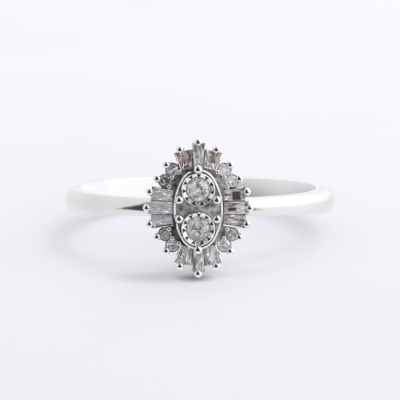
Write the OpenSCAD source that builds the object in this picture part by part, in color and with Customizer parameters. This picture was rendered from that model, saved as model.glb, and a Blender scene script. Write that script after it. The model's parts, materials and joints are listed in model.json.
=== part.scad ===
// Cluster ring lying on its side: a plain shank that narrows to the head, and an upright oval head.
// The head holds two round brilliants in bright-cut cups inside a raised oval frame,
// four fans of three tapered baguettes, and two small round stones in each corner.
// The ring rests on its lowest claw tip and on the far side of the shank, on z = 0.

/* [Shank] */
// Inside diameter of the shank, about a US size 7
inside_dia = 17.3; // [17.1:0.1:17.5]
// Thickness of the shank, from the finger to the top of its round
shank_t = 1.35; // [1.32:0.01:1.4]
// Width of the shank along the finger at its back, which is also the diameter of its round
back_w = 2.3; // [2.24:0.02:2.3]
// Width of the shank halfway between its back and the head
side_w = 1.82; // [1.8:0.02:1.86]
// Width of the shank under the head
neck_w = 1.2; // [1.16:0.02:1.22]
// Radius that eases the inner edges of the shank at its back
inner_ease = 0.12; // [0.08:0.01:0.14]

/* [Head] */
// Height of the tray's face over the top of the shank
tray_rise = 1.8; // [1.7:0.05:1.9]
// Thickness of the tray that the stones are let into
tray_t = 0.5; // [0.45:0.05:0.55]
// How far the tray ends inside the outer edges of the baguettes
bed_inset = 0.06; // [0.05:0.01:0.07]
// Thickness of the walls beside the fans
wall_t = 0.1; // [0.09:0.01:0.11]
// Length of the head along the finger, over the outer claw tips
head_l = 9.92; // [9.8:0.02:10]
// Width of the head across the finger, over the outer claw tips
head_w = 7.9; // [7.86:0.02:7.94]
// How far the middle of the head sits above the middle of the shank
head_up = 0.16; // [0.12:0.01:0.2]
// Size of the open basket's foot against its top
basket_taper = 0.8; // [0.78:0.01:0.82]
// Depth of the foot rail below the top of the shank
foot_drop = 0.75; // [0.7:0.05:0.8]
// Height of the foot rail
foot_h = 0.55; // [0.5:0.05:0.6]
// Width of the foot rail
foot_w = 0.45; // [0.4:0.05:0.5]

/* [Claws] */
// Radius of the round tip of an outer claw
tip_r = 0.29; // [0.28:0.01:0.3]
// Radius of an outer claw's wire
claw_r = 0.2; // [0.18:0.01:0.22]
// Height of the outer tips' centres over the tray's face
tip_rise = 0.33; // [0.31:0.01:0.35]
// Radius of the post under a small bead
bead_post_r = 0.11; // [0.1:0.01:0.12]
// Radius of a small bead between the frame and the corner stones
bead_r = 0.18; // [0.17:0.005:0.19]
// Height of the small beads' centres over the tray's face
bead_rise = 0.3; // [0.28:0.01:0.32]

/* [Oval frame] */
// Width of the oval frame
frame_w = 3.5; // [3.49:0.01:3.52]
// Length of the oval frame
frame_l = 5.7; // [5.69:0.01:5.72]
// Radius of the frame's two ends
frame_end_r = 1.34; // [1.33:0.01:1.36]
// Thickness of the frame's wall, whose top is a ridge
frame_wall = 0.13; // [0.12:0.01:0.14]
// How far the frame and its cups sit below the middle of the head
frame_low = 0.07; // [0:0.01:0.1]
// Height of the frame over the tray's face
frame_rise = 0.95; // [0.85:0.05:1.05]
// Radius of the six large beads on the frame
frame_bead_r = 0.33; // [0.31:0.01:0.35]
// Radius of the post under a large bead
frame_post_r = 0.2; // [0.19:0.01:0.21]
// Height of the large beads' centres over the frame
frame_bead_rise = 0.16; // [0.12:0.01:0.2]

/* [Centre stones] */
// Diameter of the two round brilliants
centre_dia = 1.7; // [1.66:0.01:1.72]
// Distance between the two brilliants' centres
centre_pitch = 2.8; // [2.78:0.01:2.82]
// Diameter of the bright-cut cup that each sits in
cup_dia = 2.4; // [2.38:0.01:2.41]
// Number of bright-cut notches round each cup
notches = 11; // [10:1:12]

/* [Outer stones] */
// Diameter of the eight small round stones
corner_dia = 0.9; // [0.86:0.01:0.9]
// Height of the stones' girdles over the tray's face
girdle_rise = 0.1; // [0.08:0.01:0.12]
// Angle at which the outer stones lean outwards
lean = 6; // [4:1:8]
// Gap between a stone and the metal round it
seat_gap = 0.03; // [0.02:0.005:0.035]

/* [Hidden] */
$fn = 64;
RIGHT_ANGLE = 90;

// How far a cup's rim stands over the frame, the stone's girdle lies below it, and the seat's lip over that
CUP_PROUD = 0.12;
STONE_LOW = 0.09;
SEAT_LIP = 0.04;

// Radii of the shank, heights over the finger's axis, and the head's half sizes
r_in = inside_dia / 2;
r_out = r_in + shank_t;
round_r = back_w / 2;
tray_h = r_out + tray_rise;
girdle_h = tray_h + girdle_rise;
tip_h = tray_h + tip_rise;
frame_h = tray_h + frame_rise;
frame_bead_h = frame_h + frame_bead_rise;
cup_top_h = frame_h + CUP_PROUD;
stone_h = frame_h - STONE_LOW;
centre_y = centre_pitch / 2;
tip_n = head_l / 2 - tip_r;
tip_e = head_w / 2 - tip_r;
tip_low = tip_n - head_up;

// The frame's oval: centres of its end arcs, and radius, centres and half angle of its side arcs
end_y = frame_l / 2 - frame_end_r;
side_r = (frame_w * frame_w / 4 + end_y * end_y - frame_end_r * frame_end_r) / (frame_w - 2 * frame_end_r);
side_x = side_r - frame_w / 2;
side_half = atan2(end_y, side_x);

// Outline of the plate inside the frame's waist, which ends within its side walls
PLATE_HALF = [for (a = [-20:10:20]) polar(side_r - frame_wall / 4, a, 0) - [side_x, 0, 0]];
PLATE = concat([for (p = PLATE_HALF) [p.x, p.y]], [for (p = PLATE_HALF) [-p.x, -p.y]]);

// The outer claw tips of the upper right quarter, as parts of the head's half width and length
TIP_PARTS = [[0.352, 0.887], [0.62, 0.657], [0.798, 0.445], [0.943, 0.246]];
QUARTER = [for (t = TIP_PARTS) [t.x * tip_e, t.y * tip_n]];
RIGHT_TIPS = concat([[0, -tip_n]], [for (p = QUARTER) [p.x, -p.y]], [[tip_e, 0]],
    [for (i = [3:-1:0]) QUARTER[i]], [[0, tip_n]]);
TIPS = concat(RIGHT_TIPS, [for (i = [9:-1:1]) [-RIGHT_TIPS[i].x, RIGHT_TIPS[i].y]]);

// Small beads of one quarter, three between the frame and the corner stones
BEADS = [[1.37, 2.53], [1.84, 2.16], [2.06, 1.52]];
// Large beads of one quarter of the frame: one on its end and one beside its waist
FRAME_BEADS = [[0, frame_l / 2], [1.33, 0.67]];
// Part of the outline through the claw tips that the middle of the tray fills
TRAY_PART = 0.78;
// Slope of a ridge's two sides
RIDGE = 0.7;
// Ledge that a baguette lies on, and how deep and how high the walls beside it go from its girdle
LEDGE = 0.22;
WALL_LOW = 0.45;
WALL_HIGH = 0.09;
// Length, width and depth of a notch in a cup, and the turn of the first one from straight down
NOTCH_L = 0.26;
NOTCH_W = 0.34;
NOTCH_DEEP = 0.18;
NOTCH_TURN = 14;
// Width of the outer slope of a cup's rim, height of its side below the frame, radii of foot and hole
RIM_T = 0.06;
CUP_SIDE_H = 0.35;
CUP_FOOT_R = 0.95;
CUP_HOLE_R = 0.45;
// Collar that the tray leaves round a small round stone, and depth of the plate below the frame's top
COLLAR = 0.07;
PLATE_LOW = 0.3;
// Radii of the holes in the tray behind a small round stone and behind a cup
CORNER_HOLE_R = 0.22;
CENTRE_HOLE_R = 0.57;

// The two small round stones of one quarter
CORNERS = [[1.84, 2.67], [2.35, 1.88]];

// A fan's baguettes, from left to right as one looks outwards: the middle of the inner end,
// the turn about it, the length, and the widths at the inner and the outer end
B_X = 0;
B_Y = 1;
B_TURN = 2;
B_LEN = 3;
B_IN = 4;
B_OUT = 5;
LONG_FAN = [
    [-0.762, 2.74, 12.2, 1.35, 0.78, 1.15],
    [0, 2.86, 0, 1.76, 0.68, 0.94],
    [0.762, 2.74, -12.2, 1.35, 0.78, 1.15]
];
SHORT_FAN = [
    [-0.81, 1.82, 5.2, 1.56, 0.66, 0.86],
    [0, 1.82, 0, 1.76, 0.88, 0.94],
    [0.81, 1.82, -5.2, 1.56, 0.66, 0.86]
];

// The four fans: the name, the turn from the top of the head, and the baguettes
F_NAME = 0;
F_TURN = 1;
F_ROWS = 2;
FANS = [
    ["north", 0, LONG_FAN],
    ["east", -90, SHORT_FAN],
    ["south", 180, LONG_FAN],
    ["west", 90, SHORT_FAN]
];

// The four corners: the name and the mirror signs across and along the finger
C_NAME = 0;
C_X = 1;
C_Y = 2;
QUARTERS = [["ne", 1, 1], ["se", 1, -1], ["sw", -1, -1], ["nw", -1, 1]];

// Step cut of a baguette, from the table down: how far each level is inset, and its height
LEVEL_INSET = 0;
LEVEL_Z = 1;
STEPS = [[0.09, 0.1], [0.045, 0.065], [0, 0.015], [0, -0.015], [0.1, -0.18], [0.26, -0.36]];

// Proportions of a round brilliant against its girdle's radius
TABLE = 0.57;
STAR = 0.79;
CROWN = 0.3;
GIRDLE = 0.04;
PAVILION = 0.84;
LOWER = 0.24;
// Table of the simpler cut that the small round stones have
WIDE_TABLE = 0.66;

// Angle at which the ring rests, with its head raised at the front
rest_y = tip_h + r_out - round_r;
rest_tilt = atan2(tip_low, rest_y) + asin((tip_r - round_r) / norm([tip_low, rest_y]));
axis_z = (r_out - round_r) * sin(rest_tilt) + round_r;
bead_low = frame_l / 2 + frame_low - head_up;
front_y = -frame_bead_h * cos(rest_tilt) - bead_low * sin(rest_tilt) - frame_bead_r;
back_y = (r_out - round_r) * cos(rest_tilt) + round_r;
axis_y = -(front_y + back_y) / 2;

// Move a point of the head towards its centre by a distance
function pull(p, d) = p * (norm(p) - d) / norm(p);

// Point on a circle of radius r at angle a and height z
function polar(r, a, z) = [r * cos(a), r * sin(a), z];

// Corners of a tapered baguette's outline, inset all round
function trapezoid(b, inset) =
    let (half_in = b[B_IN] / 2, half_out = b[B_OUT] / 2, len = b[B_LEN])
    let (taper = (half_out - half_in) / len)
    let (side = inset * sqrt(1 + taper * taper))
    let (near = half_in + taper * inset - side, far = half_out - taper * inset - side)
    [[-near, inset], [near, inset], [far, len - inset], [-far, len - inset]];

// Corners of the tray's bed under a baguette: out to a side stone's wall, or inside a middle stone
function bed(b) =
    let (out = b[B_X] == 0 ? -bed_inset : seat_gap + wall_t / 2)
    let (half_in = b[B_IN] / 2 + out, half_out = b[B_OUT] / 2 + out, end = b[B_LEN] - bed_inset)
    [[-half_in, 0], [half_in, 0], [half_out, end], [-half_out, end]];

// Place the ring's own frame, in which the finger lies along Z and the head faces -Y
module rest() {
    translate([0, axis_y, axis_z]) rotate([-rest_tilt, 0, 0]) children();
}

// Place the head's frame: X across the finger, Y along it, Z outwards from its axis
module face() {
    rest() rotate([RIGHT_ANGLE, 0, 0]) translate([0, head_up, 0]) children();
}

// Place a baguette, whose inner end is its origin, its outer end on +Y and its girdle at z = 0
module place_baguette(turn, b) {
    rotate([0, 0, turn])
        translate([b[B_X], b[B_Y], girdle_h + b[B_LEN] * sin(lean)])
            rotate([-lean, 0, b[B_TURN]]) children();
}

// Place a small round stone of a corner, with its girdle at z = 0
module place_corner(q, p) {
    x = q[C_X] * p.x;
    y = q[C_Y] * p.y;
    translate([x, y, girdle_h]) rotate([0, lean, atan2(y, x)]) children();
}

// Place a cup or its stone: side is 1 above the middle of the frame and -1 below it
module place_cup(side) {
    translate([0, side * centre_y - frame_low, 0]) children();
}

// Repeat what follows in the four quarters of the head
module quarters(p) {
    for (sx = [-1, 1], sy = [-1, 1]) translate([sx * p.x, sy * p.y, 0]) children();
}

// Straight wire between two points
module wire(a, b, r) {
    d = b - a;
    translate(a) rotate([0, acos(d.z / norm(d)), atan2(d.y, d.x)]) cylinder(h = norm(d), r = r);
}

// Step-cut stone with a table, 16 facets and a keel, let out all round by grow
module step_cut(b, grow) {
    levels = [for (s = STEPS) [s[LEVEL_INSET] - grow, s[LEVEL_Z] + sign(s[LEVEL_Z]) * grow]];
    points = [for (l = levels) for (p = trapezoid(b, l[LEVEL_INSET])) [p.x, p.y, l[LEVEL_Z]]];
    last = 4 * (len(levels) - 1);
    sides = [for (k = [0:4:last - 4]) for (i = [0:3])
        [k + i, k + (i + 1) % 4, k + 4 + (i + 1) % 4, k + 4 + i]];
    polyhedron(points, concat([[3, 2, 1, 0], [last, last + 1, last + 2, last + 3]], sides));
}

// Round brilliant: a table, 8 stars, 8 kites, 16 upper and 16 lower halves and 8 mains
module brilliant(r) {
    crown = CROWN * r;
    girdle = GIRDLE * r;
    pavilion = PAVILION * r;
    slant = cos(22.5);
    star_z = crown * (1 - STAR * slant) / (1 - TABLE);
    lower_z = -girdle - pavilion * (1 - LOWER * slant);
    points = concat(
        [for (i = [0:7]) polar(TABLE * r, 45 * i, crown)],
        [for (i = [0:7]) polar(STAR * r, 45 * i + 22.5, star_z)],
        [for (i = [0:15]) polar(r, 22.5 * i, 0)],
        [for (i = [0:15]) polar(r, 22.5 * i, -girdle)],
        [for (i = [0:7]) polar(LOWER * r, 45 * i + 22.5, lower_z)],
        [[0, 0, -girdle - pavilion]]);
    t = 0;
    s = 8;
    g = 16;
    h = 32;
    d = 48;
    culet = 56;
    polyhedron(points, concat(
        [[for (i = [7:-1:0]) t + i]],
        [for (i = [0:7]) [t + i, t + (i + 1) % 8, s + i]],
        [for (i = [0:7]) [t + i, s + i, g + 2 * i, s + (i + 7) % 8]],
        [for (i = [0:7]) [s + i, g + 2 * i + 1, g + 2 * i]],
        [for (i = [0:7]) [s + i, g + (2 * i + 2) % 16, g + 2 * i + 1]],
        [for (j = [0:15]) [g + j, g + (j + 1) % 16, h + (j + 1) % 16, h + j]],
        [for (i = [0:7]) [h + 2 * i, h + 2 * i + 1, d + i]],
        [for (i = [0:7]) [h + 2 * i + 1, h + (2 * i + 2) % 16, d + i]],
        [for (i = [0:7]) [h + 2 * i, d + i, culet, d + (i + 7) % 8]]));
}

// Simpler round cut: a wide table, 24 facets over the girdle and 16 below it
module simple_cut(r) {
    points = concat(
        [for (i = [0:7]) polar(WIDE_TABLE * r, 45 * i, CROWN * r)],
        [for (i = [0:15]) polar(r, 22.5 * i, 0)],
        [for (i = [0:15]) polar(r, 22.5 * i, -GIRDLE * r)],
        [[0, 0, -(GIRDLE + PAVILION) * r]]);
    g = 8;
    h = 24;
    culet = 40;
    polyhedron(points, concat(
        [[for (i = [7:-1:0]) i]],
        [for (i = [0:7]) [i, (i + 1) % 8, g + 2 * i + 1]],
        [for (i = [0:7]) [i, g + 2 * i + 1, g + 2 * i]],
        [for (i = [0:7]) [(i + 1) % 8, g + (2 * i + 2) % 16, g + 2 * i + 1]],
        [for (j = [0:15]) [g + j, g + (j + 1) % 16, h + (j + 1) % 16, h + j]],
        [for (j = [0:15]) [h + j, h + (j + 1) % 16, culet]]));
}

// Seat of a small round stone: the stone's cone and crown, let out all round
module corner_seat() {
    r = corner_dia / 2;
    out = r + seat_gap;
    top = CROWN * r + seat_gap;
    rotate_extrude() polygon([
        [0, top], [WIDE_TABLE * r + seat_gap, top], [out, seat_gap],
        [out, -GIRDLE * r - seat_gap], [0, -(GIRDLE + PAVILION) * r - 2 * seat_gap]
    ]);
}

// Half-round section of the shank's back, with the finger's axis on the left
module shank_section() {
    flat = shank_t - round_r;
    translate([r_in + inner_ease, -round_r]) square([flat - inner_ease, back_w]);
    translate([r_in, inner_ease - round_r]) square([flat, back_w - 2 * inner_ease]);
    for (s = [-1, 1]) {
        translate([r_in + inner_ease, s * (round_r - inner_ease)]) circle(inner_ease);
    }
    difference() {
        translate([r_out - round_r, 0]) circle(round_r);
        translate([r_in + flat / 2 - back_w, -back_w]) square([back_w, 2 * back_w]);
    }
}

// Shank: half-round and widest at its back, and cut flat on both sides so that it narrows to the head
module shank() {
    reach = r_out + 1;
    narrowing = (side_w - neck_w) / 2 * reach / r_out;
    front = side_w / 2 - narrowing;
    back = side_w / 2 + narrowing;
    intersection() {
        rotate_extrude() shank_section();
        rotate([RIGHT_ANGLE, 0, RIGHT_ANGLE]) translate([0, 0, -reach]) linear_extrude(2 * reach)
            polygon([[-reach, -front], [reach, -back], [reach, back], [-reach, front]]);
    }
}

// Section of a wall whose top is a ridge
module wall_section(t, low, high) {
    eaves = high - RIDGE * t / 2;
    polygon([[0, low], [t, low], [t, eaves], [t / 2, high], [0, eaves]]);
}

// Plan of the tray: its middle and a bed for each outer stone, open behind each stone
module tray_plan() {
    difference() {
        union() {
            polygon([for (p = TIPS) p * TRAY_PART]);
            for (f = FANS, b = f[F_ROWS]) {
                rotate(f[F_TURN]) translate([b[B_X], b[B_Y]]) rotate(b[B_TURN]) polygon(bed(b));
            }
            for (q = QUARTERS, p = CORNERS) {
                translate([q[C_X] * p.x, q[C_Y] * p.y]) circle(corner_dia / 2 + COLLAR);
            }
        }
        for (f = FANS, b = f[F_ROWS]) {
            rotate(f[F_TURN]) translate([b[B_X], b[B_Y]]) rotate(b[B_TURN]) polygon(trapezoid(b, LEDGE));
        }
        for (q = QUARTERS, p = CORNERS) {
            translate([q[C_X] * p.x, q[C_Y] * p.y]) circle(CORNER_HOLE_R);
        }
        for (s = [-1, 1]) place_cup(s) circle(CENTRE_HOLE_R);
    }
}

// Wall beside the outer edge of a fan's last stone
module fan_wall(b) {
    spread = atan2(b[B_OUT] - b[B_IN], 2 * b[B_LEN]);
    translate([b[B_IN] / 2 + seat_gap, 0, 0]) rotate([0, 0, -spread])
        translate([0, b[B_LEN], 0]) rotate([RIGHT_ANGLE, 0, 0])
            linear_extrude(b[B_LEN]) wall_section(wall_t, -WALL_LOW, WALL_HIGH);
}

// Everything that is soldered together: shank, basket, tray, frame, claws and beads
module mount() {
    color("silver") difference() {
        union() {
            rest() shank();
            face() {
                foot_rail();
                translate([0, 0, tray_h - tray_t]) linear_extrude(tray_t) tray_plan();
                for (p = TIPS) claw(p);
                for (p = BEADS) quarters(p) bead_on_post(bead_r, bead_post_r, tray_h + bead_rise);
                for (f = FANS) {
                    last = f[F_ROWS][2];
                    place_baguette(f[F_TURN], last) fan_wall(last);
                    rotate(f[F_TURN]) mirror([1, 0, 0]) place_baguette(0, last) fan_wall(last);
                }
                frame();
            }
        }
        face() {
            for (f = FANS, b = f[F_ROWS]) place_baguette(f[F_TURN], b) step_cut(b, seat_gap);
            for (q = QUARTERS, p = CORNERS) place_corner(q, p) corner_seat();
            for (s = [-1, 1]) place_cup(s) cup_room();
        }
    }
}

// Rail round the foot of the basket, let into the shank at its two sides
module foot_rail() {
    translate([0, 0, r_out - foot_drop]) linear_extrude(foot_h) difference() {
        polygon([for (p = TIPS) pull(p * basket_taper, -foot_w / 3)]);
        polygon([for (p = TIPS) pull(p * basket_taper, foot_w * 2 / 3)]);
    }
}

// Outer claw: a wire that leans out from the foot rail, with a round tip
module claw(p) {
    foot = p * basket_taper;
    wire([foot.x, foot.y, r_out - foot_drop + foot_h / 2], [p.x, p.y, tip_h], claw_r);
    translate([p.x, p.y, tip_h]) sphere(tip_r);
}

// Bead on a straight post that stands in the tray
module bead_on_post(r, post_r, h) {
    translate([0, 0, tray_h - tray_t / 2]) cylinder(h = h - tray_h + tray_t / 2, r = post_r);
    translate([0, 0, h]) sphere(r);
}

// Raised oval frame round the two cups, with the plate inside it and its six large beads
module frame() {
    translate([0, -frame_low, 0]) {
        translate([0, 0, tray_h - tray_t / 2])
            linear_extrude(frame_rise + tray_t / 2 - PLATE_LOW) polygon(PLATE);
        for (turn = [0, 180]) rotate(turn) {
            translate([0, end_y, 0]) rotate(side_half) frame_arc(frame_end_r, 180 - 2 * side_half);
            translate([-side_x, 0, 0]) rotate(-side_half) frame_arc(side_r, 2 * side_half);
        }
        for (p = [FRAME_BEADS[0], -FRAME_BEADS[0]]) {
            translate([p.x, p.y, 0]) bead_on_post(frame_bead_r, frame_post_r, frame_bead_h);
        }
        quarters(FRAME_BEADS[1]) bead_on_post(frame_bead_r, frame_post_r, frame_bead_h);
    }
}

// One of the four arcs of the frame's wall, with r its outer radius
module frame_arc(r, angle) {
    rotate_extrude(angle = angle)
        translate([r - frame_wall, 0]) wall_section(frame_wall, tray_h - tray_t / 2, frame_h);
}

// Room that the tray and the frame leave for a cup
module cup_room() {
    r = cup_dia / 2 + seat_gap;
    top = cup_top_h + seat_gap;
    rotate_extrude() polygon([
        [0, tray_h], [CUP_FOOT_R + seat_gap, tray_h], [r, frame_h - CUP_SIDE_H], [r, top], [0, top]
    ]);
}

// Bright-cut cup of a centre stone: a sharp rim, a face that slopes in to the stone, notches, and the seat
module cup(side) {
    r = cup_dia / 2;
    stone_r = centre_dia / 2;
    seat_r = stone_r + seat_gap;
    seat_drop = seat_gap * sqrt(1 + PAVILION * PAVILION);
    seat_h = stone_h - GIRDLE * stone_r - seat_drop;
    color("gainsboro") face() place_cup(side) difference() {
        rotate_extrude() polygon([
            [CUP_HOLE_R, tray_h + seat_gap], [CUP_FOOT_R, tray_h + seat_gap],
            [r, frame_h - CUP_SIDE_H], [r, cup_top_h - RIDGE * RIM_T], [r - RIM_T, cup_top_h],
            [seat_r, stone_h + SEAT_LIP], [seat_r, seat_h + PAVILION * seat_gap],
            [CUP_HOLE_R, seat_h - (stone_r - CUP_HOLE_R) * PAVILION]
        ]);
        for (i = [0:notches - 1]) rotate([0, 0, i * 360 / notches - RIGHT_ANGLE + NOTCH_TURN]) notch();
    }
}

// Notch in a cup's face: a wedge that widens outwards from the stone
module notch() {
    translate([centre_dia / 2, 0, stone_h - NOTCH_DEEP])
        linear_extrude(1) polygon([[0, 0], [NOTCH_L, -NOTCH_W / 2], [NOTCH_L, NOTCH_W / 2]]);
}

// Round brilliant in its cup
module centre_stone(side) {
    color("whitesmoke") face() place_cup(side) translate([0, 0, stone_h]) brilliant(centre_dia / 2);
}

// One baguette of a fan
module baguette(f, b) {
    color("lightgray") face() place_baguette(f[F_TURN], b) step_cut(b, 0);
}

// One small round stone of a corner
module round_stone(q, p) {
    color("lightgray") face() place_corner(q, p) simple_cut(corner_dia / 2);
}

mount();
cup(1);  // illusion_cup_upper
cup(-1);  // illusion_cup_lower
centre_stone(1);  // centre_stone_upper
centre_stone(-1);  // centre_stone_lower
for (f = FANS, i = [0:2]) {
    baguette(f, f[F_ROWS][i]);
}
for (q = QUARTERS, i = [0:1]) {
    round_stone(q, CORNERS[i]);
}
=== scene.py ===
"""Looks of the cluster ring: polished white gold and cut diamonds on a pale floor in a soft white tent."""

import json
import math
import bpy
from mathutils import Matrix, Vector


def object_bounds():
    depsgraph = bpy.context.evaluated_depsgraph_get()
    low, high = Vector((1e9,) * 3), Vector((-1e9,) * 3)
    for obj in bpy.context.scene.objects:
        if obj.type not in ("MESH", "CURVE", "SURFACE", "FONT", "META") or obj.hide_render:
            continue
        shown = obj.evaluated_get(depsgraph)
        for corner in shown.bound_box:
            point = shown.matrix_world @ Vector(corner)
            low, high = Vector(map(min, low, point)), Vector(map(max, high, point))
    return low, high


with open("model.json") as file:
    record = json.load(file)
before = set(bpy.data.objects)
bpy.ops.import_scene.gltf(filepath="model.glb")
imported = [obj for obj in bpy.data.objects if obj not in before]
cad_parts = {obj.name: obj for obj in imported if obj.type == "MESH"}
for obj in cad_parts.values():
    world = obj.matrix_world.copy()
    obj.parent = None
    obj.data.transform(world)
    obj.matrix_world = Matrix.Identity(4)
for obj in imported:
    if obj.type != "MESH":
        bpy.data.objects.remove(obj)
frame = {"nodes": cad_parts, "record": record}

from types import SimpleNamespace

import bpy
from mathutils import Matrix, Vector

CAD_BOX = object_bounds()
MM = 0.001

# The ring's own axes, from the bore that the finger goes through
BORE = frame["record"]["mounts"][0]
AXIS_POINT = Vector(BORE["pos_m"])
ACROSS = Vector((1, 0, 0))
ALONG = Vector(BORE["axis"]).normalized()
OUTWARD = ACROSS.cross(ALONG)
# The shank is the ring's widest part
SHANK_RADIUS = (CAD_BOX[1][0] - CAD_BOX[0][0]) / 2
# Radius of the shank's inside, and how far beyond it the look of the inside fades
INNER_RADIUS = BORE["dims"]["r_mm"] * MM
INNER_FADE = (0.05 * MM, 0.2 * MM)

# Camera: its angle, distance and scale as in the photograph
VIEW_AZIMUTH = math.radians(0.5)
VIEW_ELEVATION = math.radians(13.5)
VIEW_DISTANCE = 300 * MM
SENSOR = 36.0
FRAME_PIXELS = 400
PIXELS_PER_MM = 13.5
RING_PIXEL = (199.8, 199.3)

# Metal

# Heights over the top of the shank between which it is satin: the tray, and the plate in the frame
TRAY_SATIN = (0.6 * MM, 1.81 * MM)
PLATE_SATIN = (2.44 * MM, 2.46 * MM)
SATIN_EDGE = 0.02 * MM

# Colours where it is polished, which vary by a noise of this scale and detail, and where it lies in shade
POLISHED_NOISE = (350.0, 4.0)
POLISHED = [(0.35, (0.92, 0.915, 0.91)), (0.65, (0.96, 0.955, 0.95))]
SHADED = (0.1, 0.095, 0.095, 1.0)
# Tones of the satin, which paint the shade of the recessed tray and plate: on the left, from bottom to top,
# and on the right, and half the width and length of the tray, over which they change
SATIN_SHADE_LEFT = (0.05, 0.24)
SATIN_SHADE_RIGHT = 0.46
TRAY_HALF_WIDTH = 2.6 * MM
TRAY_HALF_LENGTH = 2.5 * MM
# How uneven the satin is, how much lighter it is on the plate, and its green and blue as parts of its red. A
# pattern is the scale and detail of a noise, and the noise's values between which it goes from none to full.
SATIN_PATTERN = (2000.0, 4.0, 0.35, 0.65)
SATIN_UNEVEN = (0.3, 1.5)
PLATE_LIGHTER = 1.35
SATIN_WARMTH = (0.975, 0.97)

# Heights between which painted shade darkens the notches in a cup towards their floors, and how dark it gets
NOTCH_FLOOR = (2.56 * MM, 2.68 * MM)
NOTCH_SHADE = 0.8
# The lowest part of the upper cup lies in the lower cup's shade: its height along the finger, the distances
# from there between which the shade fades, and how dark it is
CUP_SHADE_HEIGHT = 0.5 * MM
CUP_SHADE_FADE = (0.2 * MM, 0.5 * MM)
CUP_SHADE = 0.55

# A painted reflection of something dark on the inside of the shank: low down, on the right, and most at both
# ends of that side. Each row has the places along one of the ring's own axes between which it changes, and
# the darkness there.
INNER_REFLECTION_COLOUR = (0.3, 0.29, 0.31, 1.0)
INNER_LOW = (0.9 * MM, -0.3 * MM, 0.0, 0.62)
INNER_RIGHT = (-0.5 * MM, 3.0 * MM, 0.0, 1.0)
INNER_ENDS = (0.4 * MM, 2.4 * MM, 0.6, 1.0)
INNER_ENDS_MIDDLE = 6.3 * MM

# Roughness where it is polished, and what the shank's inside, the satin and the wear add to it. The shank is
# worn up to the height where the head begins, and bright-cut metal is as rough as that everywhere.
POLISH_PATTERN = (1800.0, 5.0, 0.35, 0.7)
POLISH_ROUGHNESS = (0.03, 0.09)
INNER_ROUGHNESS = 0.35
SATIN_ROUGHNESS = 0.2
WORN_ROUGHNESS = 0.1
WORN_HEIGHT = (-0.4 * MM, 0.1 * MM)

# How metallic it is: polished, bright-cut, satin, and inside the shank from one place across it to another
POLISHED_METAL = 1.0
CUT_METAL = 0.85
SATIN_METAL = 0.45
INNER_METAL = (-3.0 * MM, 4.0 * MM, 0.3, 0.62)

# Reliefs: the scale and detail of a noise, and its height. Satin and bright-cut metal have the waves.
FINE_RELIEF = (6000.0, 2.0, 0.02 * MM)
FINE_STRENGTH = 0.03
WAVE_RELIEF = (2600.0, 3.0, 0.08 * MM)
SATIN_WAVES = 0.5
CUT_WAVES = 1.0

# Stones

# Body colours of the three baguettes of each fan, the two round stones of each corner and the centre stones.
# Their tints are body colour, and their greys are painted light and shade, so that most stones on the left
# are darker than those on the right.
FAN_TINTS_AND_SHADES = {
    "north": [(0.66, 0.53, 0.51), (0.76, 0.74, 0.73), (0.78, 0.71, 0.65)],
    "east": [(0.83, 0.77, 0.76), (0.86, 0.82, 0.81), (0.86, 0.82, 0.81)],
    "south": [(0.96, 0.95, 0.96), (0.93, 0.91, 0.91), (0.92, 0.89, 0.88)],
    "west": [(0.76, 0.75, 0.77), (0.76, 0.75, 0.77), (0.75, 0.74, 0.76)],
}
CORNER_TINTS_AND_SHADES = {
    "ne": [(0.9, 0.88, 0.87), (0.76, 0.74, 0.73)], "se": [(0.97, 0.95, 0.94), (0.66, 0.64, 0.63)],
    "sw": [(0.6, 0.59, 0.61), (0.52, 0.51, 0.53)], "nw": [(0.53, 0.51, 0.52), (0.29, 0.27, 0.28)],
}
CENTRE_TINT = (0.95, 0.94, 0.95)
# How clear a stone is where it is clearest and where it is cloudiest, and how dark its streaks are
CLARITY = {
    "north": (0.92, 0.45, 0.5), "east": (0.9, 0.5, 0.6), "south": (0.92, 0.5, 0.6), "west": (0.7, 0.5, 0.8),
    "ne": (0.7, 0.35, 0.75), "se": (0.75, 0.4, 0.65), "sw": (0.8, 0.5, 0.7), "nw": (0.85, 0.55, 0.6),
    "centre": (0.9, 0.55, 0.65),
}
# How fast the noises in a stone change across the finger, along it and outwards, per metre
STREAKS_ALONG = (3400.0, 900.0, 1500.0)
STREAKS_ACROSS = (900.0, 3400.0, 1500.0)
SHARDS = (2600.0, 2600.0, 2600.0)
# Scale and detail of the noise that varies the body colour, its values where the colour is darkest, plain and
# palest, and how much lighter than plain the palest is
BODY_NOISE = (1.7, 2.0)
BODY_STOPS = (0.38, 0.5, 0.6)
PALEST = 1.15
# Patterns of the clouds, of the roughness in them, and of the white flecks, which are painted glints
CLOUDS = (1.0, 3.0, 0.42, 0.6)
HAZE = (1.0, 3.0, 0.42, 0.66)
STONE_ROUGHNESS = (0.01, 0.1)
GLINT_FLECKS = (2.6, 2.0, 0.58, 0.66)
GLINT_COLOUR = (1.0, 0.99, 0.99, 1.0)
GLINT_STRENGTH = 0.75
DIAMOND_IOR = 2.42
STONE_RELIEF = (9000.0, 2.0, 0.01 * MM)
STONE_STRENGTH = 0.02
# Dark patches in two baguettes, painted reflections of something dark: where they lie across and along the
# finger, in mm
DARK_PATCHES = {
    "baguette_east_1": ((2.34, 3.08), (0.62, 1.42)),
    "baguette_east_2": ((2.04, 2.78), (-0.13, 0.27)),
}
PATCH_EDGE = 0.1 * MM
PATCH_COLOUR = (0.03, 0.025, 0.022, 1.0)
PATCH_PATTERN = (5.0, 2.0, 0.35, 0.6)
PATCH_DEPTH = (0.92, 1.0)

# Floor

FLOOR_SIZE = 4.0
FLOOR_NOISE = (60.0, 3.0)
FLOOR_COLOURS = [(0.3, (0.4613, 0.4576, 0.4825)), (0.7, (0.4687, 0.465, 0.4898))]
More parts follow.
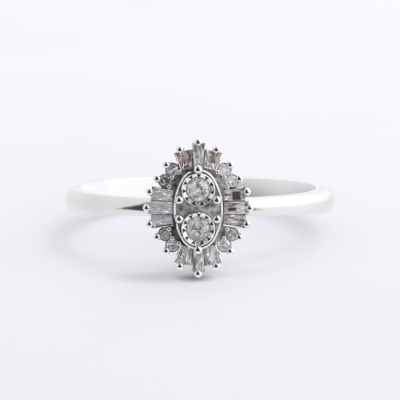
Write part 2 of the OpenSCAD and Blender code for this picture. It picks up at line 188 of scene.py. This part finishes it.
# The visible floor from front to back, and how light it is there: painted light, darker in front
FLOOR_REACH = (-47 * MM, 63 * MM)
FLOOR_PAINTED_LIGHT = (0.93, 1.02)
# The sheet glows a little: painted light that lightens its shadows
FLOOR_PAINTED_GLOW = 0.75
# The contact shadow under the lowest claw tip, and the soft one beside it: middle and radii in mm, and tone
CONTACTS = [
    ((-0.3, -11.1), (1.88, 1.68), 0.34),
    ((-2.8, -11.0), (4.55, 2.67), 0.79),
]

# Light

# Lamps: the name, the place, the diameter, the power, and whether the metal mirrors it
LAMPS = [
    ("back", Vector((0.075, 0.2, 0.22)), 0.07, 0.09, True),
    ("side", Vector((0.165, 0.03, 0.28)), 0.17, 0.15, False),
    ("fill", Vector((0.08, -0.31, 0.1)), 0.25, 0.5, False),
]
# Light of the tent by direction: dimmer on the left, a window on the right, and under the horizon dimmer
# towards the right. Each row has the two directions between which the light changes, and the light there.
TENT_COLOUR = (0.985, 0.985, 1.0, 1.0)
TENT_SIDE = (-0.9, 0.4, 0.76, 1.04)
TENT_WINDOW = (0.5, 0.95, 1.0, 1.1)
TENT_BELOW = (-0.4, 0.5, 1.0, 0.8)
HORIZON = (-0.12, 0.04)
TENT_RADIUS = 0.25
# The dark opening of the tent round the camera: its left, right and top corner where a mirror ball would show
# them, in parts of the ball's radius, and how far its lower edge sags between them
OPENING_CORNERS = [Vector((-0.59, -0.2)), Vector((0.44, -0.2)), Vector((-0.12, 0.72))]
OPENING_SAG = 0.22
OPENING_ROWS = 24
OPENING_COLOUR = (0.048, 0.046, 0.05, 1.0)


def new_object(name, data):
    """A new object, linked into the scene."""
    thing = bpy.data.objects.new(name, data)
    bpy.context.scene.collection.objects.link(thing)
    return thing


def view_axes():
    """The directions from the ring to the camera, to the picture's right and up the picture."""
    back = Vector((
        math.sin(VIEW_AZIMUTH) * math.cos(VIEW_ELEVATION),
        -math.cos(VIEW_AZIMUTH) * math.cos(VIEW_ELEVATION),
        math.sin(VIEW_ELEVATION),
    ))
    right = Vector((0, 0, 1)).cross(back).normalized()
    return back, right, back.cross(right)


def make_camera():
    """A long lens, aimed so that the ring's centre falls on its pixel of the photograph."""
    back, right, up = view_axes()
    pixel = MM / PIXELS_PER_MM
    middle = FRAME_PIXELS / 2
    aim = (AXIS_POINT + right * (middle - RING_PIXEL[0]) * pixel
           - up * (middle - RING_PIXEL[1]) * pixel)
    eye = aim + back * VIEW_DISTANCE
    data = bpy.data.cameras.new("camera")
    data.sensor_width = SENSOR
    data.lens = SENSOR * VIEW_DISTANCE / (FRAME_PIXELS * pixel)
    data.clip_start = 0.01
    data.clip_end = 20
    camera = new_object("camera", data)
    camera.matrix_world = Matrix((
        (right.x, up.x, back.x, eye.x),
        (right.y, up.y, back.y, eye.y),
        (right.z, up.z, back.z, eye.z),
        (0, 0, 0, 1),
    ))
    bpy.context.scene.camera = camera


class Graph:
    """Small helper that adds and links the nodes of one node tree."""

    def __init__(self, tree):
        self.tree = tree
        tree.nodes.clear()

    def add(self, kind, inputs=None, **settings):
        """A node, with each of its inputs set to a value or linked to another node's output."""
        node = self.tree.nodes.new(kind)
        for key, value in settings.items():
            setattr(node, key, value)
        for key, value in (inputs or {}).items():
            if isinstance(value, bpy.types.NodeSocket):
                self.tree.links.new(value, node.inputs[key])
            else:
                node.inputs[key].default_value = value
        return node

    def place(self):
        """Where a point of the surface lies. For a CAD node these are coordinates of the frame."""
        return self.add("ShaderNodeTexCoord").outputs["Object"]

    def maths(self, operation, *values):
        return self.add("ShaderNodeMath", dict(enumerate(values)), operation=operation).outputs[0]

    def product(self, first, *others):
        for other in others:
            first = self.maths("MULTIPLY", first, other)
        return first

    def inverse(self, part):
        """What a part between 0 and 1 leaves of 1."""
        return self.maths("SUBTRACT", 1.0, part)

    def vector(self, operation, *values, output="Vector"):
        return self.add("ShaderNodeVectorMath", dict(enumerate(values)), operation=operation).outputs[output]

    def noise(self, scale, detail, where):
        inputs = {"Scale": scale, "Detail": detail, "Vector": where}
        return self.add("ShaderNodeTexNoise", inputs).outputs["Fac"]

    def ramp(self, value, stops):
        """A colour by a value: each stop is a place between 0 and 1 with its colour."""
        node = self.add("ShaderNodeValToRGB", {"Fac": value})
        elements = node.color_ramp.elements
        while len(elements) < len(stops):
            elements.new(0.5)
        for element, (place, colour) in zip(elements, stops):
            element.position = place
            element.color = (*colour, 1.0)
        return node.outputs["Color"]

    def mix(self, part, first, second):
        """Two colours mixed. A Mix node takes its colours at inputs 6 and 7, and gives one at output 2."""
        return self.add("ShaderNodeMix", {0: part, 6: first, 7: second}, data_type="RGBA").outputs[2]

    def spread(self, value, low, high, to_low, to_high, kind="LINEAR"):
        """A value from one range, spread over another one and held at its ends."""
        return self.add("ShaderNodeMapRange", {
            "Value": value, "From Min": low, "From Max": high, "To Min": to_low, "To Max": to_high,
        }, interpolation_type=kind).outputs["Result"]

    def pattern(self, where, shape, to_none, to_full):
        """A value that a pattern varies, from where there is none of the pattern to where it is full."""
        scale, detail, none, full = shape
        return self.spread(self.noise(scale, detail, where), none, full, to_none, to_full)

    def relief(self, where, shape, strength, under=None):
        """The normals of a fine relief, laid over those of another one if there is one."""
        scale, detail, height = shape
        inputs = {"Height": self.noise(scale, detail, where), "Strength": strength, "Distance": height}
        if under is not None:
            inputs["Normal"] = under
        return self.add("ShaderNodeBump", inputs).outputs["Normal"]

    def surface(self, shader):
        """Make a shader the surface of the material."""
        self.add("ShaderNodeOutputMaterial", {"Surface": shader.outputs[0]})


def new_material(name):
    """A material with an empty node tree, and its graph."""
    material = bpy.data.materials.new(name)
    material.use_nodes = True
    return material, Graph(material.node_tree)


def along_axis(g, place, axis):
    """How far a point lies from the ring's centre along one of the ring's own axes."""
    reach = g.vector("DOT_PRODUCT", place, axis, output="Value")
    return g.maths("SUBTRACT", reach, AXIS_POINT.dot(axis))


def stretched(g, place, rates):
    """Texture coordinates along the ring's own axes, each at its own rate."""
    parts = [g.product(along_axis(g, place, axis), rate)
             for axis, rate in zip((ACROSS, ALONG, OUTWARD), rates)]
    return g.add("ShaderNodeCombineXYZ", dict(enumerate(parts))).outputs["Vector"]


def within(g, value, band, edge):
    """1 where a value lies in a band, and 0 outside it and its edges."""
    low, high = band
    over = g.spread(value, low - edge, low, 0.0, 1.0)
    under = g.spread(value, high, high + edge, 1.0, 0.0)
    return g.product(over, under)


def inner_face(g, across, outward):
    """1 on the inside of the shank, and 0 on its outside."""
    square = g.maths("ADD", g.product(across, across), g.product(outward, outward))
    first, last = INNER_FADE
    return g.spread(g.maths("SQRT", square), INNER_RADIUS + first, INNER_RADIUS + last, 1.0, 0.0)


def metal_zones(g):
    """Where a point of the metal lies: its place along the ring's own axes, its height over the top of the
    shank, and how far it is satin, on the plate, and inside the shank, each from 0 to 1."""
    place = g.place()
    across, along, outward = (along_axis(g, place, axis) for axis in (ACROSS, ALONG, OUTWARD))
    height = g.maths("SUBTRACT", outward, SHANK_RADIUS)
    plate = within(g, height, PLATE_SATIN, SATIN_EDGE)
    satin = g.maths("MAXIMUM", within(g, height, TRAY_SATIN, SATIN_EDGE), plate)
    return SimpleNamespace(
        place=place, across=across, along=along, height=height,
        plate=plate, satin=satin, inner=inner_face(g, across, outward),
    )


def satin_shade_colour(g, zones):
    """Uneven grey with painted shade, darkest on the left and most at the bottom there."""
    left = g.spread(zones.along, -TRAY_HALF_LENGTH, TRAY_HALF_LENGTH, *SATIN_SHADE_LEFT)
    side = g.spread(zones.across, -TRAY_HALF_WIDTH, TRAY_HALF_WIDTH, left, SATIN_SHADE_RIGHT)
    uneven = g.pattern(zones.place, SATIN_PATTERN, *SATIN_UNEVEN)
    tone = g.product(side, uneven, g.spread(zones.plate, 0.0, 1.0, 1.0, PLATE_LIGHTER))
    green, blue = SATIN_WARMTH
    parts = [tone, g.product(tone, green), g.product(tone, blue)]
    return g.add("ShaderNodeCombineColor", dict(enumerate(parts))).outputs["Color"]


def cup_shade(g, zones):
    """How far a cup's face lies in shade: in its notches, and where the other cup shades it."""
    from_shade = g.maths("ABSOLUTE", g.maths("SUBTRACT", zones.along, CUP_SHADE_HEIGHT))
    shade = g.spread(from_shade, *CUP_SHADE_FADE, CUP_SHADE, 0.0)
    notch = g.spread(zones.height, *NOTCH_FLOOR, NOTCH_SHADE, 0.0)
    return g.maths("MAXIMUM", shade, notch)


def inner_dark_reflection(g, zones):
    """How dark the painted reflection on the inside of the shank is: only on the right, most low down and at
    both ends there.
    """
    low = g.spread(zones.along, *INNER_LOW)
    from_middle = g.maths("ABSOLUTE", g.maths("SUBTRACT", zones.across, INNER_ENDS_MIDDLE))
    ends = g.spread(from_middle, *INNER_ENDS)
    right = g.spread(zones.across, *INNER_RIGHT)
    return g.product(low, ends, right, zones.inner)


def gold_colour(g, zones, bright_cut):
    """The metal's colour, with painted shade on the satin and where a cup lies in shade, and a painted dark
    reflection inside the shank.
    """
    bright = g.ramp(g.noise(*POLISHED_NOISE, zones.place), POLISHED)
    colour = g.mix(zones.satin, bright, satin_shade_colour(g, zones))
    if bright_cut:
        colour = g.mix(cup_shade(g, zones), colour, SHADED)
    return g.mix(inner_dark_reflection(g, zones), colour, INNER_REFLECTION_COLOUR)


def gold_roughness(g, zones, bright_cut):
    """Smooth with faint wear, and duller inside the shank and where the metal is satin."""
    polish = g.pattern(zones.place, POLISH_PATTERN, *POLISH_ROUGHNESS)
    inner = g.product(zones.inner, INNER_ROUGHNESS)
    satin = g.product(zones.satin, SATIN_ROUGHNESS)
    head = WORN_ROUGHNESS if bright_cut else 0.0
    worn = g.spread(zones.height, *WORN_HEIGHT, WORN_ROUGHNESS, head)
    return g.maths("ADD", g.maths("ADD", g.maths("ADD", polish, inner), satin), worn)


def gold_material(name, bright_cut=False):
    """White gold: polished with faint wear, and satin and slightly wavy on the tray and the frame's plate.
    Bright-cut gold has the ripples of a graver all over."""
    material, g = new_material(name)
    zones = metal_zones(g)
    fine = g.relief(zones.place, FINE_RELIEF, FINE_STRENGTH)
    waves = CUT_WAVES if bright_cut else g.product(zones.satin, SATIN_WAVES)
    metallic = g.spread(zones.satin, 0.0, 1.0, CUT_METAL if bright_cut else POLISHED_METAL, SATIN_METAL)
    inner = g.maths("MAXIMUM", g.spread(zones.across, *INNER_METAL), g.inverse(zones.inner))
    shader = g.add("ShaderNodeBsdfPrincipled", {
        "Base Color": gold_colour(g, zones, bright_cut), "Metallic": g.product(metallic, inner),
        "Roughness": gold_roughness(g, zones, bright_cut),
        "Normal": g.relief(zones.place, WAVE_RELIEF, waves, fine),
    })
    g.surface(shader)
    return material


def dark_patch(g, place, reach):
    """1 in the part of a stone where a dark reflection lies, and 0 elsewhere."""
    sides = []
    for axis, (low, high) in zip((ACROSS, ALONG), reach):
        band = (low * MM + PATCH_EDGE, high * MM - PATCH_EDGE)
        sides.append(within(g, along_axis(g, place, axis), band, PATCH_EDGE))
    return g.product(*sides)


def diamond_material(name, tint, rates, clarity):
    """Cut diamond with inclusions: a body colour, milky streaks or shards that let less light through, and
    small white flecks that are painted glints."""
    material, g = new_material(name)
    place = g.place()
    where = stretched(g, place, rates)
    clearest, cloudiest, streak = clarity
    darkest = tuple(c * streak for c in tint)
    palest = tuple(min(1.0, c * PALEST) for c in tint)
    colour = g.ramp(g.noise(*BODY_NOISE, where), list(zip(BODY_STOPS, (darkest, tint, palest))))
    glint = g.pattern(where, GLINT_FLECKS, 0.0, GLINT_STRENGTH)
    colour = g.mix(glint, colour, GLINT_COLOUR)
    through = g.product(g.pattern(where, CLOUDS, clearest, cloudiest), g.inverse(glint))
    if name in DARK_PATCHES:
        depth = g.pattern(where, PATCH_PATTERN, *PATCH_DEPTH)
        patch = g.product(dark_patch(g, place, DARK_PATCHES[name]), depth)
        colour = g.mix(patch, colour, PATCH_COLOUR)
        through = g.product(through, g.inverse(patch))
    shader = g.add("ShaderNodeBsdfPrincipled", {
        "Base Color": colour, "Transmission Weight": through, "IOR": DIAMOND_IOR,
        "Roughness": g.pattern(where, HAZE, *STONE_ROUGHNESS),
        "Normal": g.relief(place, STONE_RELIEF, STONE_STRENGTH),
    })
    g.surface(shader)
    return material


def dress(material, *names):
    """Give CAD nodes their material."""
    for name in names:
        slots = frame["nodes"][name].data.materials
        slots.clear()
        slots.append(material)


def dress_stones(group, tints, rates, clarity):
    """Give each stone of a group, numbered from 1, its own body colour with its painted light and shade."""
    for i, tint in enumerate(tints, 1):
        stone = f"{group}_{i}"
        dress(diamond_material(stone, tint, rates, clarity), stone)


def contact_tone(g, place, middle, radii, tone):
    """How light the floor is in and round a contact shadow."""
    offset = g.vector("SUBTRACT", place, Vector((*middle, 0.0)) * MM)
    parts = g.vector("MULTIPLY", offset, Vector([1 / (radius * MM) for radius in radii] + [0.0]))
    away = g.vector("LENGTH", parts, output="Value")
    return g.spread(away, 0.0, 1.0, tone, 1.0, "SMOOTHSTEP")


def make_floor():
    """Pale matt sheet under the ring, much wider than the picture."""
    half = FLOOR_SIZE / 2
    mesh = bpy.data.meshes.new("floor")
    corners = [(-half, -half, 0), (half, -half, 0), (half, half, 0), (-half, half, 0)]
    mesh.from_pydata(corners, [], [(0, 1, 2, 3)])
    floor = new_object("floor", mesh)
    material, g = new_material("pale_sheet")
    place = g.place()
    depth = g.add("ShaderNodeSeparateXYZ", {0: place}).outputs["Y"]
    tone = g.spread(depth, *FLOOR_REACH, *FLOOR_PAINTED_LIGHT)
    for contact in CONTACTS:
        tone = g.product(tone, contact_tone(g, place, *contact))
    cloud = g.ramp(g.noise(*FLOOR_NOISE, place), FLOOR_COLOURS)
    colour = g.add("ShaderNodeVectorMath", {0: cloud, "Scale": tone}, operation="SCALE").outputs["Vector"]
    shader = g.add("ShaderNodeBsdfPrincipled", {
        "Base Color": colour, "Roughness": 0.8, "Specular IOR Level": 0.1,
        "Emission Color": colour, "Emission Strength": FLOOR_PAINTED_GLOW,
    })
    g.surface(shader)
    mesh.materials.append(material)
    floor.visible_glossy = False


def make_tent():
    """White tent all round, brighter on the right."""
    world = bpy.data.worlds.new("tent")
    world.use_nodes = True
    g = Graph(world.node_tree)
    way = g.add("ShaderNodeSeparateXYZ", {0: g.add("ShaderNodeTexCoord").outputs["Generated"]})
    side = g.spread(way.outputs["X"], *TENT_SIDE)
    window = g.spread(way.outputs["X"], *TENT_WINDOW)
    below = g.spread(way.outputs["X"], *TENT_BELOW)
    ground = g.spread(way.outputs["Z"], *HORIZON, below, 1.0)
    strength = g.product(side, window, ground)
    light = g.add("ShaderNodeBackground", {"Color": TENT_COLOUR, "Strength": strength})
    g.add("ShaderNodeOutputWorld", {"Surface": light.outputs["Background"]})
    bpy.context.scene.world = world


def make_lamps():
    """Round lamps, aimed at the ring."""
    for name, place, size, energy, mirrored in LAMPS:
        data = bpy.data.lights.new(name, "AREA")
        data.shape = "DISK"
        data.size = size
        data.energy = energy
        lamp = new_object(name, data)
        lamp.location = place
        lamp.rotation_euler = (-place).to_track_quat("-Z", "Y").to_euler()
        lamp.visible_glossy = mirrored


def opening_spot(rise, shift):
    """Where a mirror ball shows a point of the dark opening, by its parts of the way up and to the right."""
    left, right, top = OPENING_CORNERS
    spot = left * (1 - rise - shift) + right * shift + top * rise
    half = (right.x - left.x) / 2
    aside = min(1.0, abs(spot.x - left.x - half) / half)
    spot.y -= OPENING_SAG * (1 - rise) ** 3 * (1 - aside * aside) ** 2
    return spot


def tent_point(spot):
    """The point of the tent that a mirror ball round the ring's centre shows at a spot."""
    back, right, up = view_axes()
    normal = right * spot.x + up * spot.y + back * math.sqrt(max(0.0, 1 - spot.length_squared))
    away = normal * (2 * normal.dot(back)) - back
    return tuple(AXIS_POINT + away * TENT_RADIUS)


def opening_mesh():
    """The dark opening as triangles between rows of points, which get shorter towards its top."""
    points = []
    rows = []
    for i in range(OPENING_ROWS + 1):
        row = []
        for j in range(OPENING_ROWS + 1 - i):
            row.append(len(points))
            points.append(tent_point(opening_spot(i / OPENING_ROWS, j / OPENING_ROWS)))
        rows.append(row)
    faces = []
    for low, high in zip(rows, rows[1:]):
        for j, tip in enumerate(high):
            faces.append((low[j], low[j + 1], tip))
            if j + 1 < len(high):
                faces.append((low[j + 1], high[j + 1], tip))
    mesh = bpy.data.meshes.new("dark_opening")
    mesh.from_pydata(points, [], faces)
    return mesh


def make_dark_opening():
    """The dark opening of the tent round the camera. Only the polished metal and the stones mirror it."""
    mesh = opening_mesh()
    card = new_object("dark_opening", mesh)
    card.visible_camera = False
    card.visible_diffuse = False
    card.visible_shadow = False
    material, g = new_material("dark_cloth")
    g.surface(g.add("ShaderNodeEmission", {"Color": OPENING_COLOUR, "Strength": 1.0}))
    mesh.materials.append(material)


make_camera()
make_floor()
make_tent()
make_lamps()
make_dark_opening()

dress(gold_material("white_gold"), "mount")
dress(gold_material("bright_cut_gold", bright_cut=True), "illusion_cup_upper", "illusion_cup_lower")
centre = diamond_material("centre_diamond", CENTRE_TINT, SHARDS, CLARITY["centre"])
dress(centre, "centre_stone_upper", "centre_stone_lower")
for fan, tints in FAN_TINTS_AND_SHADES.items():
    rates = STREAKS_ALONG if fan in ("north", "south") else STREAKS_ACROSS
    dress_stones(f"baguette_{fan}", tints, rates, CLARITY[fan])
for corner, tints in CORNER_TINTS_AND_SHADES.items():
    dress_stones(f"round_stone_{corner}", tints, SHARDS, CLARITY[corner])

bpy.context.scene.view_settings.view_transform = "Standard"
